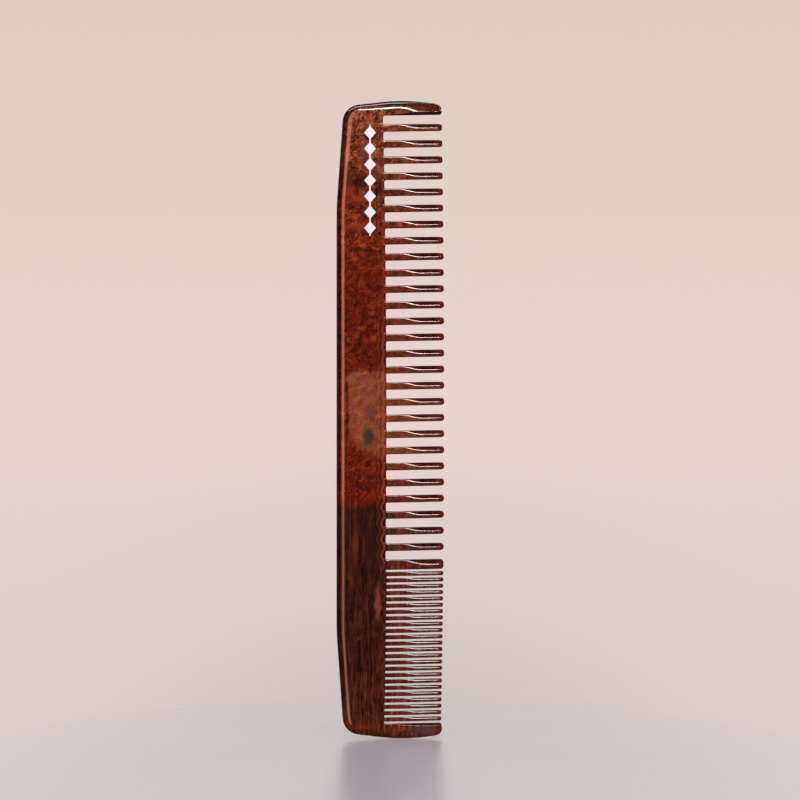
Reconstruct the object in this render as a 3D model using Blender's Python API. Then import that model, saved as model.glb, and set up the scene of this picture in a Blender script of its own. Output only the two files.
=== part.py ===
"""A beard comb: a flat plate of cellulose acetate with a coarse and a fine row of teeth along one edge.

Units are metres and +Z is up. The comb stands on its tail end: Z runs from the tail to the head, X from the back
edge to the tooth tips, and the printed front face looks along -Y. The origin is at the foot of the comb, under the
middle of its width and thickness.

The real comb is sawn out of one plate. Its back, its two guards and each of its teeth are separate closed solids
here, which meet face to face on flat root planes, so that every gap between two teeth stays open for collision.
"""

import math

import bmesh
import bpy
from mathutils import Vector

# The plate
LENGTH = 0.185
WIDTH = 0.0313
THICKNESS = 0.0042
HALF = THICKNESS / 2
BACK_X = -WIDTH / 2
TIP_X = WIDTH / 2

# The outline: corner positions at the head end, with the radius that rounds each. The tail end mirrors them.
BEND_FROM_END = 0.031
BEND_RADIUS = 0.060
SHOULDER = (-0.0136, LENGTH - 0.00167, 0.0051)
CROWN = (0.0036, LENGTH + 0.000516, 0.055)
GUARD_TIP = (0.01495, LENGTH - 0.00112, 0.0021)
ARC_STEP = math.radians(13)
ARC_LEAST_STEPS = 4
EDGE_ROUND = 0.0020
EDGE_SEGMENTS = 4
WELD = 0.000001
SHARP_ANGLE = math.radians(30)
# A face belongs to the flat front or rear when its normal is this nearly along Y
FACES_ALONG_Y = 0.99

# The roots and the tips of the teeth each follow a shallow curve, x = peak - bow * (z - peak_z) ** 2
ROOT_X = -0.00118
ROOT_PEAK_Z = 0.095
ROOT_BOW = 0.13
FINE_ROOT_STEP = 0.0004
TIP_PEAK_Z = 0.100
TIP_BOW = 0.10

# Teeth, from the tail up: fine row, divider, coarse row
FINE_COUNT = 24
FINE_TOOTH = 0.00126
FINE_SLOT = 0.00057
DIVIDER = 0.00296
COARSE_COUNT = 27
COARSE_TOOTH = 0.00218
COARSE_SLOT = 0.00249
FINE_FIELD = FINE_COUNT * FINE_TOOTH + (FINE_COUNT + 1) * FINE_SLOT
COARSE_FIELD = COARSE_COUNT * COARSE_TOOTH + (COARSE_COUNT + 1) * COARSE_SLOT
GUARD = (LENGTH - FINE_FIELD - DIVIDER - COARSE_FIELD) / 2

# The shape of one tooth. Shares are of the tooth's length, from its root, or of its width, from its upper side.
TOOTH_LEAN = 0.016
TIP_WIDTH_SHARE = 0.955
RIDGE_SHARE = 0.60
RIDGE_FLAT_SHARE = 0.10
GRIND_START = 0.27
GRIND_SLOPE = 0.123
RIDGE_RISE = 0.275
EDGE_CHAMFER = 0.00035
TIP_ROUND = 0.0010
TIP_STEPS = (0.0, 0.55, 0.85, 0.98)
GUARD_RIDGE = 0.00085
# How much of a guard's width its tip loses, for a tooth that loses all of it
GUARD_TIP_NARROWING = 0.5
# The rounded outer edge of a guard stops this many ridge widths short of its slot
GUARD_RIDGE_CLEARANCE = 1.2

# The printed mark: lozenges strung on a thin rule, on the front face near the head
MARK_X = -0.0059
MARK_LOW_Z = 0.1457
LOZENGE_COUNT = 7
LOZENGE_PITCH = 0.0046
LOZENGE_LENGTH = 0.0039
LOZENGE_WIDTH = 0.0034
RULE_WIDTH = 0.0004
INK_THICKNESS = 0.00005


def clear_scene():
    for item in list(bpy.data.objects):
        bpy.data.objects.remove(item)


def new_collection(name):
    collection = bpy.data.collections.new(name)
    bpy.context.scene.collection.children.link(collection)
    return collection


def material(name, colour, roughness):
    made = bpy.data.materials.new(name)
    made.use_nodes = True
    shader = made.node_tree.nodes["Principled BSDF"]
    shader.inputs["Base Color"].default_value = (*colour, 1.0)
    shader.inputs["Roughness"].default_value = roughness
    shader.inputs["Metallic"].default_value = 0.0
    return made


def add_object(name, data, collection, finish):
    made = bpy.data.objects.new(name, data)
    data.materials.append(finish)
    collection.objects.link(made)
    return made


def finish_shape(name, shape, collection, finish):
    """Turns a bmesh into a named object, shaded smooth across its rounds and sharp at its corners."""
    mesh = bpy.data.meshes.new(name)
    shape.to_mesh(mesh)
    shape.free()
    mesh.shade_smooth()
    mesh.set_sharp_from_angle(angle=SHARP_ANGLE)
    add_object(name, mesh, collection, finish)


def root_x(z):
    """Where the teeth leave the back at height z. The fine row is cut a little less deep."""
    step = FINE_ROOT_STEP if z < GUARD + FINE_FIELD else 0.0
    return ROOT_X + step - ROOT_BOW * (z - ROOT_PEAK_Z) ** 2


def tip_x(z):
    return TIP_X - TIP_BOW * (z - TIP_PEAK_Z) ** 2


def rounded_path(corners):
    """Points along straight runs whose inner corners (x, z, radius) are rounded by arcs."""
    path = [Vector(corners[0][:2])]
    for before, (x, z, radius), after in zip(corners, corners[1:], corners[2:]):
        corner = Vector((x, z))
        back = (Vector(before[:2]) - corner).normalized()
        ahead = (Vector(after[:2]) - corner).normalized()
        half_angle = back.angle(ahead) / 2
        centre = corner + (back + ahead).normalized() * (radius / math.sin(half_angle))
        first = corner + back * (radius / math.tan(half_angle)) - centre
        turn = math.pi - 2 * half_angle
        steps = max(ARC_LEAST_STEPS, math.ceil(turn / ARC_STEP))
        for i in range(steps + 1):
            angle = turn * i / steps
            across = Vector((-first.y, first.x))
            path.append(centre + first * math.cos(angle) + across * math.sin(angle))
    path.append(Vector(corners[-1][:2]))
    return path


def outline():
    """The comb's outer edge as (x, z) points, from the head guard's tip round the back to the tail guard's tip."""
    head = [
        (GUARD_TIP[0], LENGTH - GUARD, 0),
        GUARD_TIP,
        CROWN,
        SHOULDER,
        (BACK_X, LENGTH - BEND_FROM_END, BEND_RADIUS),
    ]
    tail = [(x, LENGTH - z, radius) for x, z, radius in reversed(head)]
    return rounded_path(head + tail)


def outer_edges():
    """The head half and the tail half of the outline."""
    edge = outline()
    return [p for p in edge if p.y > LENGTH / 2], [p for p in edge if p.y < LENGTH / 2]


def edge_height(points, x):
    """The height at x of a run of outline points whose x keeps falling or keeps rising."""
    for a, b in zip(points, points[1:]):
        if min(a.x, b.x) <= x <= max(a.x, b.x) and a.x != b.x:
            return a.y + (b.y - a.y) * (x - a.x) / (b.x - a.x)
    raise ValueError("x is outside the outline")


def tooth_spans():
    """(name, low z, high z) at the root of each tooth between the guards, from the tail up."""
    spans = []
    z = GUARD + FINE_SLOT
    for number in range(1, FINE_COUNT + 1):
        spans.append((f"fine_tooth_{number:02d}", z, z + FINE_TOOTH))
        z += FINE_TOOTH + FINE_SLOT
    spans.append(("divider_tooth", z, z + DIVIDER))
    z += DIVIDER + COARSE_SLOT
    for number in range(1, COARSE_COUNT + 1):
        spans.append((f"coarse_tooth_{number:02d}", z, z + COARSE_TOOTH))
        z += COARSE_TOOTH + COARSE_SLOT
    return spans


def guard_seats():
    """The root plane of the tail guard and of the head guard."""
    return root_x(GUARD / 2), root_x(LENGTH - GUARD / 2)


def back_points():
    """The outline of the back alone: the outer edge between the guards' root planes, then the toothed edge."""
    tail_seat, head_seat = guard_seats()
    head_edge, tail_edge = outer_edges()
    outer = [Vector((head_seat, edge_height(head_edge, head_seat)))]
    outer += [p for p in head_edge if p.x < head_seat]
    outer += [p for p in tail_edge if p.x < tail_seat]
    outer += [Vector((tail_seat, edge_height(tail_edge, tail_seat)))]
    toothed = [Vector((tail_seat, GUARD))]
    for _, low, high in tooth_spans():
        seat = root_x((low + high) / 2)
        toothed += [Vector((seat, low)), Vector((seat, high))]
    toothed.append(Vector((head_seat, LENGTH - GUARD)))
    return outer, toothed


def outline_curve(name, points, thickness):
    """A filled 2D curve through (x, z) points, extruded to a thickness. It is drawn in its own X and Y."""
    curve = bpy.data.curves.new(name, "CURVE")
    curve.dimensions = "2D"
    curve.fill_mode = "BOTH"
    curve.extrude = thickness / 2
    spline = curve.splines.new("POLY")
    spline.points.add(len(points) - 1)
    for point, (x, z) in zip(spline.points, points):
        point.co = (x, z, 0, 1)
    spline.use_cyclic_u = True
    return curve


def make_back(collection, finish):
    """The solid back: its outline extruded through the thickness, with the outer edge rounded."""
    outer, toothed = back_points()
    curve = outline_curve("back_outline", outer + toothed, THICKNESS)
    drawn = add_object("back_outline", curve, collection, finish)
    drawn.rotation_euler = (math.pi / 2, 0, 0)
    bpy.context.view_layer.update()
    mesh = bpy.data.meshes.new_from_object(drawn.evaluated_get(bpy.context.evaluated_depsgraph_get()))
    mesh.transform(drawn.matrix_world)
    bpy.data.objects.remove(drawn)

    shape = bmesh.new()
    shape.from_mesh(mesh)
    bmesh.ops.remove_doubles(shape, verts=shape.verts, dist=WELD)
    flat = [edge for edge in shape.edges if all(abs(face.normal.y) > FACES_ALONG_Y for face in edge.link_faces)]
    bmesh.ops.dissolve_edges(shape, edges=flat)
    seats = guard_seats()
    rounded = []
    for edge in shape.edges:
        a, b = (vert.co for vert in edge.verts)
        lies_on_face = abs(a.y - b.y) < WELD
        behind_teeth = (a.x + b.x) / 2 < min(seats) - WELD
        beside_guard = not GUARD < (a.z + b.z) / 2 < LENGTH - GUARD and abs(a.x - b.x) > WELD
        if lies_on_face and (behind_teeth or beside_guard):
            rounded.append(edge)
    bmesh.ops.bevel(shape, geom=rounded, affect="EDGES", offset=EDGE_ROUND, segments=EDGE_SEGMENTS, profile=0.5,
                    clamp_overlap=False)
    finish_shape("back", shape, collection, finish)
    bpy.data.meshes.remove(mesh)


def loft(name, sections, collection, finish):
    """A closed solid through rings of points that all have the same number of points."""
    shape = bmesh.new()
    rings = [[shape.verts.new(point) for point in section] for section in sections]
    count = len(rings[0])
    for ring, following in zip(rings, rings[1:]):
        for i in range(count):
            j = (i + 1) % count
            shape.faces.new((ring[i], ring[j], following[j], following[i]))
    shape.faces.new(rings[0])
    shape.faces.new(rings[-1])
    bmesh.ops.recalc_face_normals(shape, faces=shape.faces)
    finish_shape(name, shape, collection, finish)


def ring(x, front):
    """A ring of points at x from the front half's (z, depth) points, which the back half mirrors."""
    return [(x, -depth, z) for z, depth in front] + [(x, depth, z) for z, depth in reversed(front)]


def side_depth(share, length):
    """Half the thickness at a tooth's side: the grinding that points the teeth starts part of the way along."""
    ground = GRIND_SLOPE * length * (share - GRIND_START)
    return HALF - max(EDGE_CHAMFER, ground)


def stations(length, ridge_share):
    """(share of the length, size of the section) at each ring of a tooth. The size shrinks round the tip."""
    straight = (0.0, GRIND_START + EDGE_CHAMFER / (GRIND_SLOPE * length), ridge_share)
    tip_share = TIP_ROUND / length
    ends = [(1 - tip_share * (1 - step), math.sqrt(1 - step * step)) for step in TIP_STEPS]
    return [(share, 1.0) for share in straight] + ends


def make_tooth(name, low, high, collection, finish):
    """One tooth: square at its root, ground to a ridge on both faces towards a rounded tip."""
    middle = (low + high) / 2
    width = high - low
    seat = root_x(middle)
    length = tip_x(middle) - seat
    rise = RIDGE_RISE * width
    ridge_share = GRIND_START + rise / (GRIND_SLOPE * length)
    sections = []
    for share, size in stations(length, ridge_share):
        x = seat + share * length
        centre = middle + TOOTH_LEAN * (x - seat)
        local_width = width * (1 + (TIP_WIDTH_SHARE - 1) * share) * size
        side = side_depth(share, length)
        ridge = min(HALF, side + rise)
        bevel = min(1.0, (HALF - side) / rise) * (1 - RIDGE_FLAT_SHARE)
        upper = bevel * RIDGE_SHARE * local_width
        lower = bevel * (1 - RIDGE_SHARE) * local_width
        top = centre + local_width / 2
        bottom = centre - local_width / 2
        front = [
            (top, side * size),
            (top - upper, ridge * size),
            (bottom + lower, ridge * size),
            (bottom, side * size),
        ]
        sections.append(ring(x, front))
    loft(name, sections, collection, finish)


def make_guard(name, seat, slot_z, edge, collection, finish):
    """An end guard: the widest tooth, with the comb's rounded outer edge on one side and a slot on the other."""
    inward = 1 if slot_z > LENGTH / 2 else -1
    length = GUARD_TIP[0] - seat
    rise = RIDGE_RISE * COARSE_TOOTH
    ridge_share = GRIND_START + rise / (GRIND_SLOPE * length)
    sections = []
    for share, size in stations(length, ridge_share):
        x = seat + share * length
        slot_side = slot_z + TOOTH_LEAN * (x - seat)
        outer = edge_height(edge, min(x, GUARD_TIP[0] - TIP_ROUND / 2))
        outer = slot_side + (outer - slot_side) * (1 - GUARD_TIP_NARROWING * (1 - size))
        width = abs(outer - slot_side)
        side = side_depth(share, length)
        ridge = min(HALF, side + rise) * size
        bevel = min(1.0, (HALF - side) / rise) * GUARD_RIDGE
        round_off = min(EDGE_ROUND, width - GUARD_RIDGE_CLEARANCE * bevel)
        front = []
        for i in range(EDGE_SEGMENTS + 1):
            angle = math.pi / 2 * i / EDGE_SEGMENTS
            from_edge = round_off * (1 - math.cos(angle))
            depth = max(math.sin(angle) * ridge, HALF - EDGE_ROUND)
            front.append((outer - inward * from_edge, depth))
        front.append((slot_side + inward * bevel, ridge))
        front.append((slot_side, side * size))
        sections.append(ring(x, front))
    loft(name, sections, collection, finish)


def make_mark(collection, finish):
    """The ink of the printed mark: a flat outline with a little thickness, lying on the front face."""
    half_rule = RULE_WIDTH / 2
    # Where a lozenge's slanted side meets the rule
    inset = LOZENGE_LENGTH / 2 * RULE_WIDTH / LOZENGE_WIDTH
    right = [(half_rule, MARK_LOW_Z)]
    for number in range(LOZENGE_COUNT):
        centre = MARK_LOW_Z + (number + 0.5) * LOZENGE_PITCH
        right.append((half_rule, centre - LOZENGE_LENGTH / 2 + inset))
        right.append((LOZENGE_WIDTH / 2, centre))
        right.append((half_rule, centre + LOZENGE_LENGTH / 2 - inset))
    right.append((half_rule, MARK_LOW_Z + LOZENGE_COUNT * LOZENGE_PITCH))
    points = right + [(-x, z) for x, z in reversed(right)]
    curve = outline_curve("printed_mark", points, INK_THICKNESS)
    mark = add_object("printed_mark", curve, collection, finish)
    mark.rotation_euler = (math.pi / 2, 0, 0)
    mark.location = (MARK_X, -HALF - INK_THICKNESS / 2, 0)


def main():
    clear_scene()
    comb = new_collection("beard_comb")
    acetate = material("tortoiseshell_acetate", (0.16, 0.035, 0.015), 0.12)
    ink = material("white_ink", (0.80, 0.80, 0.82), 0.45)
    make_back(comb, acetate)
    head_edge, tail_edge = outer_edges()
    tail_seat, head_seat = guard_seats()
    make_guard("head_guard", head_seat, LENGTH - GUARD, head_edge, comb, acetate)
    make_guard("tail_guard", tail_seat, GUARD, tail_edge, comb, acetate)
    for name, low, high in tooth_spans():
        make_tooth(name, low, high, comb, acetate)
    make_mark(comb, ink)


main()
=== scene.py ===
"""The looks of the beard comb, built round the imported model, in metres and in its frame.

The real comb is one polished plate, so one seamless mesh stands for the back, the guards and every tooth. Its
front half is laid out line by line along the teeth and mirrored to the rear. A "height" is a distance from
the plate's middle plane. The "low" side of a piece faces the tail end, and its "high" side the head end.
"""

import math
from collections import namedtuple

import bmesh
import bpy
import numpy as np
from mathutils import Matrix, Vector


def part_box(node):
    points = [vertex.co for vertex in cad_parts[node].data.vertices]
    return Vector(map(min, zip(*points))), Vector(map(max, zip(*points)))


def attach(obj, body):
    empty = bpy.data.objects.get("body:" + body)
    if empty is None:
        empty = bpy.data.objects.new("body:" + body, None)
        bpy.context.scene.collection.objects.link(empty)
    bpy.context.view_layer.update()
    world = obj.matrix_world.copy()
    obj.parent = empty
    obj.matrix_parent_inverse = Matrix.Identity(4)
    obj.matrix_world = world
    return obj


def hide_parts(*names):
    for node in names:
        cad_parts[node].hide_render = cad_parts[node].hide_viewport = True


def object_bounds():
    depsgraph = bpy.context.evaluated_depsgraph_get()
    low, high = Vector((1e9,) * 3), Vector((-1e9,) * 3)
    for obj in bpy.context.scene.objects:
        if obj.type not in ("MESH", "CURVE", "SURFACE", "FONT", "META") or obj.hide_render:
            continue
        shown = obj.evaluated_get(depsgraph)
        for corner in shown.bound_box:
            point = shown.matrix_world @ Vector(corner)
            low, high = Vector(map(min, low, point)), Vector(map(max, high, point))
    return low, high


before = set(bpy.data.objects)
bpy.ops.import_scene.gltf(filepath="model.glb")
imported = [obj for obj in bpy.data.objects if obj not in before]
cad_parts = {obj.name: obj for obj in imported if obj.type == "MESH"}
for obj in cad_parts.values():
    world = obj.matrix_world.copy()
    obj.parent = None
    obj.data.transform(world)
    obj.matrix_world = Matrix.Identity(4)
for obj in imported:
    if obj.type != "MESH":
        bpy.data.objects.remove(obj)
CAD_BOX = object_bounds()

MM = 0.001

# The plate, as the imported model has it
FINE_COUNT = 24
COARSE_COUNT = 27
LENGTH = CAD_BOX[0].z + CAD_BOX[1].z
HALF_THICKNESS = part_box("back")[1].y
BACK_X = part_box("back")[0].x
FINE_TOOTH = 1.26 * MM
DIVIDER = 2.96 * MM
COARSE_TOOTH = 2.18 * MM

# The outline of the head end, as corners (x, z) with the radius that rounds each. The tail end mirrors it.
GUARD_TIP = (14.95 * MM, LENGTH - 1.12 * MM, 2.1 * MM)
CROWN = (3.6 * MM, LENGTH + 0.345 * MM, 55 * MM)
SHOULDER = (-13.6 * MM, LENGTH - 1.67 * MM, 5.1 * MM)
BEND = (BACK_X, LENGTH - 31 * MM, 60 * MM)
GUARD_FOOT = (GUARD_TIP[0], LENGTH - 4 * MM, 0)
UPRIGHT_WITHIN = 1e-6 * MM
ARC_STEP = math.radians(4)
STRAIGHT_STEP = 2.5 * MM

# The outer edge is an elliptical round. Near the shoulder it is wider on the back and narrower on the crown.
EDGE_WIDTH = 2.4 * MM
SHOULDER_EXTRA = 0.6 * MM
CROWN_LESS = 0.9 * MM
SHOULDER_REACH = 16 * MM
EDGE_ANGLES = np.radians(np.linspace(0, 90, 13))
RINGS_CLEAR_OF_GUARD = 0.5 * MM
RINGS_SETTLE_WITHIN = 6 * MM

# How the teeth lean and narrow towards the tip, and how their sides and corners are rounded. A MOST_ is the
# largest share of a tooth's width that a round may take.
LEAN = 0.016
TIP_WIDTH_SHARE = 0.955
SIDE_ROUND = 0.26 * MM
FINE_SIDE_ROUND = 0.07 * MM
MOST_SIDE_ROUND = 0.3
MOST_EDGE_ROUND = 0.55
SIDE_ANGLES = np.radians([0, 22, 45, 67, 90])
TIP_CORNER = 0.86 * MM
MOST_TIP_CORNER = 0.42
TIP_ANGLES = np.radians([18, 36, 54, 70, 82, 90])
TIP_THINNING = 0.62

# Two facets are ground on each face of a tooth, and meet in a ridge. A grind has:
#   start        where the grinding starts, as a share of the tooth's length
#   slope        how steeply the facets fall to the tip
#   ridge_share  how far the ridge is from the high side, as a share of the tooth's width (not used on guards)
#   rise         how much higher the ridge is than the high side
#   lower_share  the share of that rise that is lost again at the low side
#   facet_blend  how softly the facets meet the polished face
#   ridge_blend  how softly the facets meet each other at the root
Grind = namedtuple("Grind", "start slope ridge_share rise lower_share facet_blend ridge_blend")
COARSE_GRIND = Grind(0.285, 0.123, 0.60, 0.60 * MM, 0.40, 0.14 * MM, 0.36 * MM)
DIVIDER_GRIND = COARSE_GRIND._replace(rise=0.78 * MM, ridge_blend=0.68 * MM)
FINE_GRIND = Grind(0.35, 0.115, 0.42, 0.27 * MM, 0.10, 0.18 * MM, 0.34 * MM)
GUARD_GRIND = Grind(0.05, 0.110, 0.0, 1.05 * MM, 1.0, 0.17 * MM, 0.40 * MM)
GRINDS = {FINE_TOOTH: FINE_GRIND, DIVIDER: DIVIDER_GRIND, COARSE_TOOTH: COARSE_GRIND}
RIDGE_TIGHTENING = 0.6
# A guard's ridge keeps a fixed distance from the side that faces the teeth
HEAD_GUARD_RIDGE = 0.87 * MM
TAIL_GUARD_RIDGE = 0.70 * MM

# Where the teeth meet the back: each gap ends in a gullet whose edge is polished down in a scallop. A scallop
# is (how far it reaches into the back, how deep it is) at the gullet's middle. The corners of a fine gullet
# are rounded over a share of the gap's half width.
GULLET_CORNER = 0.40 * MM
FINE_GULLET_SHARE = 0.45
GULLET_CORNER_ANGLES = np.radians([30, 60])
COARSE_SCALLOP = (0.80 * MM, 0.06 * MM)
FINE_SCALLOP = (0.60 * MM, 0.04 * MM)
SCALLOP_LEAST = 0.35 * MM
SCALLOP_FADE = 1.5 * MM
FLAT_EDGE_X = -4.3 * MM

# The lines and columns of the mesh. Along a tooth the columns are closest where the facets start and meet.
LINE_SPACING = 0.12 * MM
FEWEST_LINES = 7
SCALLOP_ANGLES = np.radians([90, 66, 42, 20, 0])
BACK_ANGLES = np.concatenate([[math.pi / 2], SCALLOP_ANGLES])
BACK_COLUMNS = len(BACK_ANGLES)
ROOT_COLUMN = BACK_COLUMNS - 1
STATIONS = np.concatenate([[0.1, 0.2], np.linspace(0.2, 0.66, 13)[1:], np.linspace(0.66, 1, 6)[1:]])
MERGE_WITHIN = 0.001 * MM

# How a side or a scallop drops over the back's columns, as shares: a quarter round, or a soft wave
ROUND_DROP = 1 - np.sin(BACK_ANGLES)
WAVE_DROP = 0.5 * (1 + np.cos(math.pi * (1 - np.cos(BACK_ANGLES))))


def smooth_min(a, b, blend):
    """The smaller of two heights, rounded over where they cross."""
    share = np.clip(0.5 + 0.5 * (b - a) / blend, 0, 1)
    return b + (a - b) * share - blend * share * (1 - share)


def outline():
    """The comb's outer edge as (x, z) rows, from the head guard's tip by the back to the tail guard's tip."""
    head = [GUARD_FOOT, GUARD_TIP, CROWN, SHOULDER, BEND]
    corners = head + [(x, LENGTH - z, radius) for x, z, radius in reversed(head)]
    places = [Vector((x, z)) for x, z, radius in corners]
    radii = [radius for x, z, radius in corners]
    path = [places[0]]
    for before, corner, after, radius in zip(places, places[1:], places[2:], radii[1:]):
        add_corner(path, before, corner, after, radius)
    add_run(path, places[-1])
    return np.array([tuple(place) for place in path])


def add_corner(path, before, corner, after, radius):
    """Adds the straight run up to a corner of the outline, and the arc that rounds it."""
    back = (before - corner).normalized()
    ahead = (after - corner).normalized()
    half_angle = back.angle(ahead) / 2
    centre = corner + (back + ahead).normalized() * (radius / math.sin(half_angle))
    first = corner + back * (radius / math.tan(half_angle)) - centre
    across = Vector((-first.y, first.x))
    turn = math.pi - 2 * half_angle
    add_run(path, centre + first)
    steps = max(2, math.ceil(turn / ARC_STEP), math.ceil(turn * radius / STRAIGHT_STEP))
    for i in range(1, steps + 1):
        angle = turn * i / steps
        path.append(centre + first * math.cos(angle) + across * math.sin(angle))


def add_run(path, end):
    """Adds a straight run of points to the path, up to and including its end."""
    start = path[-1]
    steps = max(1, math.ceil((end - start).length / STRAIGHT_STEP))
    for i in range(1, steps + 1):
        path.append(start.lerp(end, i / steps))


OUTLINE = outline()
HEAD_EDGE = OUTLINE[OUTLINE[:, 1] > LENGTH / 2]
TAIL_EDGE = OUTLINE[OUTLINE[:, 1] < LENGTH / 2]


def edge_z(edge, x):
    """Where one end's outer edge lies in z at x, from the shoulder to where the guard's tip turns upright."""
    points = edge[(edge[:, 0] >= SHOULDER[0]) & (edge[:, 0] < GUARD_TIP[0] - UPRIGHT_WITHIN)]
    points = points[np.argsort(points[:, 0])]
    return np.interp(x, points[:, 0], points[:, 1])


class Rib:
    """One tooth or guard: its root and tip in x, and its two sides in z at the root.

    A guard's outer side, "low" or "high", is part of the comb's outer edge. A tooth has no outer side.
    """

    def __init__(self, name, low, high, grind, outer=None):
        box_low, box_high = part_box(name)
        self.name = name
        self.seat = box_low.x
        self.tip = box_high.x
        self.low = low
        self.high = high
        self.grind = grind
        self.outer = outer
        self.corner = min(TIP_CORNER, MOST_TIP_CORNER * (high - low))
        self.side_round = FINE_SIDE_ROUND if grind == FINE_GRIND else SIDE_ROUND
        self.gaps = {}

    def sides(self, x):
        """The places in z of the two sides at x, with the tip's rounded corners."""
        run = np.maximum(0, x - self.seat)
        narrowing = (self.high - self.low) * (1 - TIP_WIDTH_SHARE) / 2 * run / (self.tip - self.seat)
        inset = self.corner_inset(x)
        low = self.low + LEAN * run + narrowing + inset
        high = self.high + LEAN * run - narrowing - inset
        if self.outer == "low":
            low = edge_z(TAIL_EDGE, x)
        if self.outer == "high":
            high = edge_z(HEAD_EDGE, x)
        return low, high

    def corner_inset(self, x):
        """How far the tip's rounded corners have come in at x."""
        reach = np.clip((x - (self.tip - self.corner)) / self.corner, 0, 1)
        return self.corner * (1 - np.sqrt(1 - reach**2))

    def ridge_from_low(self, width):
        """How far the ridge is from the low side, where the rib is as wide as this."""
        if self.outer == "low":
            return width - TAIL_GUARD_RIDGE
        if self.outer == "high":
            return HEAD_GUARD_RIDGE
        return (1 - self.grind.ridge_share) * (self.high - self.low)

    def nearest_gap(self, z):
        """The gap on the side of the rib that z is nearer. A guard has one gap only."""
        side = "low" if z < (self.low + self.high) / 2 else "high"
        if side == self.outer:
            side = "high" if side == "low" else "low"
        return self.gaps[side]


class Gap:
    """The space between two ribs, which ends in a gullet."""

    def __init__(self, below, above, coarse):
        self.coarse = coarse
        self.seat = (below.seat + above.seat) / 2
        self.middle = (below.high + above.low) / 2
        self.half = (above.low - below.high) / 2
        self.reach = self.half + (COARSE_TOOTH if coarse else FINE_TOOTH) / 2
        self.scallop = COARSE_SCALLOP if coarse else FINE_SCALLOP
        self.side_round = SIDE_ROUND if coarse else FINE_SIDE_ROUND
        self.corner = GULLET_CORNER if coarse else FINE_GULLET_SHARE * self.half
        below.gaps["high"] = self
        above.gaps["low"] = self

    def scallop_at(self, z):
        """The scallop's reach and depth at z. Both are least at the middle of the tooth beside the gap."""
        reach, depth = self.scallop
        away = min(abs(z - self.middle) / self.reach, 1.0)
        reach = SCALLOP_LEAST + (reach - SCALLOP_LEAST) * math.sqrt(1 - away**2)
        return reach, depth * math.cos(math.pi / 2 * away) ** 2


def make_ribs():
    """The ribs from the tail up, and the gaps between them."""
    plain = [(f"fine_tooth_{number:02d}", FINE_TOOTH) for number in range(1, FINE_COUNT + 1)]
    plain.append(("divider_tooth", DIVIDER))
    plain += [(f"coarse_tooth_{number:02d}", COARSE_TOOTH) for number in range(1, COARSE_COUNT + 1)]
    teeth = []
    for name, width in plain:
        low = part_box(name)[0].z
        teeth.append(Rib(name, low, low + width, GRINDS[width]))
    fine_slot = teeth[1].low - teeth[0].high
    coarse_slot = teeth[-1].low - teeth[-2].high
    tail = Rib("tail_guard", 0, teeth[0].low - fine_slot, GUARD_GRIND, outer="low")
    head = Rib("head_guard", teeth[-1].high + coarse_slot, LENGTH, GUARD_GRIND, outer="high")
    ribs = [tail, *teeth, head]
    gaps = [Gap(a, b, coarse=i > FINE_COUNT) for i, (a, b) in enumerate(zip(ribs, ribs[1:]))]
    return ribs, gaps


def rib_lines(rib):
    """The lines along a rib from its low side to its high side, as (kind, place).

    The place is an angle round the side for the kinds "low" and "high", and a share of the face for "inner".
    """
    inner = max(FEWEST_LINES, round((rib.high - rib.low) / LINE_SPACING))
    low_angles = EDGE_ANGLES if rib.outer == "low" else SIDE_ANGLES
    high_angles = EDGE_ANGLES if rib.outer == "high" else SIDE_ANGLES
    lines = [("low", angle) for angle in low_angles]
    lines += [("inner", share) for share in np.linspace(0, 1, inner + 2)[1:-1]]
    lines += [("high", angle) for angle in reversed(high_angles)]
    return lines


def line_z(rib, kind, place, x):
    """Where one line of a rib lies in z at x."""
    low, high = rib.sides(x)
    width = high - low
    side_round = np.minimum(rib.side_round, MOST_SIDE_ROUND * width)
    edge_round = np.minimum(EDGE_WIDTH, MOST_EDGE_ROUND * width)
    low_round = edge_round if rib.outer == "low" else side_round
    high_round = edge_round if rib.outer == "high" else side_round
    if kind == "low":
        return low + low_round * (1 - math.cos(place))
    if kind == "high":
        return high - high_round * (1 - math.cos(place))
    return low + low_round + place * (width - low_round - high_round)


def face_height(rib, x, z):
    """The height of the polished face and the ground facets, before the sides are rounded."""
    low, high = rib.sides(x)
    inset = rib.corner_inset(x)
    from_low = z - low + (0 if rib.outer == "low" else inset)
    from_high = high - z + (0 if rib.outer == "high" else inset)
    face = np.full_like(x, HALF_THICKNESS)
    if rib.outer:
        from_edge = from_low if rib.outer == "low" else from_high
        into_edge = np.clip(1 - from_edge / EDGE_WIDTH, 0, 1)
        face = HALF_THICKNESS * np.sqrt(1 - into_edge**2)

    grind = rib.grind
    length = rib.tip - rib.seat
    ground = HALF_THICKNESS - grind.slope * (x - rib.seat - grind.start * length)
    width = from_low + from_high
    ridge = rib.ridge_from_low(width)
    lower = ground + grind.rise * (1 - grind.lower_share * (1 - from_low / ridge))
    upper = ground + grind.rise * from_high / (width - ridge)
    share_of_length = np.clip((x - rib.seat) / length, 0, 1)
    facets = smooth_min(lower, upper, grind.ridge_blend * (1 - RIDGE_TIGHTENING * share_of_length))
    return np.minimum(face, smooth_min(face, facets, grind.facet_blend))


def back_columns(start, reach):
    """The columns in x from the flat of the back to where a tooth or a gullet starts."""
    return np.concatenate([[FLAT_EDGE_X], start - reach * (1 - np.cos(SCALLOP_ANGLES))])


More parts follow.
